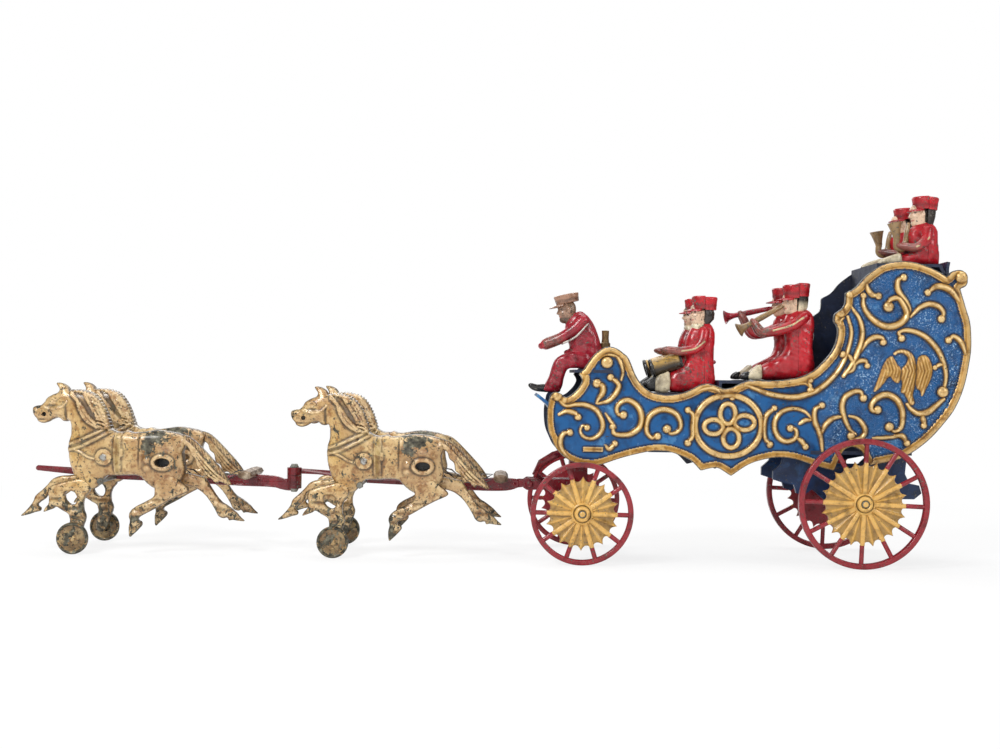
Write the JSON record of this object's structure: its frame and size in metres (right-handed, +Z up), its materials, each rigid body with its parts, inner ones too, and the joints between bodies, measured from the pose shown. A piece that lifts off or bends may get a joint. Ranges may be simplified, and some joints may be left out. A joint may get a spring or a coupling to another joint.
{
  "type": "toy horse carriage",
  "caption": "Cast iron toy band wagon with scrolled sides, seated players, pleated sunburst wheels and a galloping team on small wheels.",
  "frame": {"origin": "on the ground, under the middle of the whole toy's length and on its centre plane", "axes": "+X runs back from the team to the wagon, so the team faces -X; +Y is to the team's own right; +Z is up"},
  "size_m": [0.7782, 0.1376, 0.3071],
  "materials": {
    "wagon_blue": "worn blue enamel with gilt on the raised scrolls",
    "inside_navy": "dull dark navy paint",
    "wheel_red": "worn dark red enamel, gold on the sunburst of the front wheels",
    "coat_red": "bright red enamel coats, painted faces, hair, boots and cuffs",
    "horse_cream": "chipped cream enamel with dull gold harness",
    "bare_iron": "dull aged bare metal"
  },
  "bodies": {
    "wagon": {"side_panel_near": "wagon_blue", "side_panel_far": "wagon_blue", "front_dash": "wagon_blue", "rear_hanger_near": "wagon_blue", "rear_hanger_far": "wagon_blue", "floor_plate": "inside_navy", "driver_seat": "inside_navy", "bench_low": "inside_navy", "bench_mid": "inside_navy", "bench_top": "inside_navy", "rear_wall": "inside_navy", "rear_axle": "bare_iron", "driver": "coat_red", "drummer_near_front": "coat_red", "drummer_near_back": "coat_red", "drummer_far_front": "coat_red", "drummer_far_back": "coat_red", "trumpeter_near_front": "coat_red", "trumpeter_near_back": "coat_red", "trumpeter_far_front": "coat_red", "trumpeter_far_back": "coat_red", "horn_player_near_front": "coat_red", "horn_player_near_back": "coat_red", "horn_player_far_front": "coat_red", "horn_player_far_back": "coat_red"},
    "truck": {"front_truck": "wheel_red", "front_axle": "bare_iron", "pole_hinge_pin": "bare_iron"},
    "rear_team": {"rear_pole": "wheel_red", "draught_bar_rear": "bare_iron", "cross_rod_rear": "bare_iron", "coupling_pin": "bare_iron", "horse_second_near_outer": "horse_cream", "horse_second_near_inner": "horse_cream", "horse_second_far_outer": "horse_cream", "horse_second_far_inner": "horse_cream", "horse_rivet_second_near": "bare_iron", "horse_rivet_second_far": "bare_iron", "trace_chain_rear_near": "bare_iron", "trace_chain_rear_far": "bare_iron"},
    "front_team": {"front_pole": "wheel_red", "draught_bar_front": "bare_iron", "cross_rod_front": "bare_iron", "horse_first_near_outer": "horse_cream", "horse_first_near_inner": "horse_cream", "horse_first_far_outer": "horse_cream", "horse_first_far_inner": "horse_cream", "horse_rivet_first_near": "bare_iron", "horse_rivet_first_far": "bare_iron", "trace_chain_front_near": "bare_iron", "trace_chain_front_far": "bare_iron"},
    "wheel_rear_near": {"rear_wheel_near": "wheel_red"},
    "wheel_rear_far": {"rear_wheel_far": "wheel_red"},
    "wheel_front_near": {"front_wheel_near": "wheel_red"},
    "wheel_front_far": {"front_wheel_far": "wheel_red"},
    "wheel_second_near": {"horse_wheel_second_near": "horse_cream"},
    "wheel_second_far": {"horse_wheel_second_far": "horse_cream"},
    "wheel_first_near": {"horse_wheel_first_near": "horse_cream"},
    "wheel_first_far": {"horse_wheel_first_far": "horse_cream"}
  },
  "joints": [
    {"name": "truck_swivel", "type": "hinge", "parent": "wagon", "child": "truck", "pos_m": [0.0705, 0, 0.0902], "axis": [0, 0, 1], "range_deg": [-25, 25]},
    {"name": "pole_pitch", "type": "hinge", "parent": "truck", "child": "rear_team", "pos_m": [0.029, 0, 0.06], "axis": [0, 1, 0], "range_deg": [-8, 20]},
    {"name": "lead_swing", "type": "hinge", "parent": "rear_team", "child": "front_team", "pos_m": [-0.1705, 0, 0.0672], "axis": [0, 0, 1], "range_deg": [-30, 30]},
    {"name": "rear_near_spin", "type": "hinge", "parent": "wagon", "child": "wheel_rear_near", "pos_m": [0.2965, -0.063, 0.0525], "axis": [0, 1, 0], "continuous": true},
    {"name": "rear_far_spin", "type": "hinge", "parent": "wagon", "child": "wheel_rear_far", "pos_m": [0.2965, 0.063, 0.0525], "axis": [0, 1, 0], "continuous": true},
    {"name": "front_near_spin", "type": "hinge", "parent": "truck", "child": "wheel_front_near", "pos_m": [0.0705, -0.063, 0.0413], "axis": [0, 1, 0], "continuous": true},
    {"name": "front_far_spin", "type": "hinge", "parent": "truck", "child": "wheel_front_far", "pos_m": [0.0705, 0.063, 0.0413], "axis": [0, 1, 0], "continuous": true},
    {"name": "second_near_spin", "type": "hinge", "parent": "rear_team", "child": "wheel_second_near", "pos_m": [-0.1318, -0.044, 0.013], "axis": [0, 1, 0], "continuous": true},
    {"name": "second_far_spin", "type": "hinge", "parent": "rear_team", "child": "wheel_second_far", "pos_m": [-0.1318, 0.044, 0.013], "axis": [0, 1, 0], "continuous": true},
    {"name": "first_near_spin", "type": "hinge", "parent": "front_team", "child": "wheel_first_near", "pos_m": [-0.3443, -0.044, 0.013], "axis": [0, 1, 0], "continuous": true},
    {"name": "first_far_spin", "type": "hinge", "parent": "front_team", "child": "wheel_first_far", "pos_m": [-0.3443, 0.044, 0.013], "axis": [0, 1, 0], "continuous": true}
  ]
}
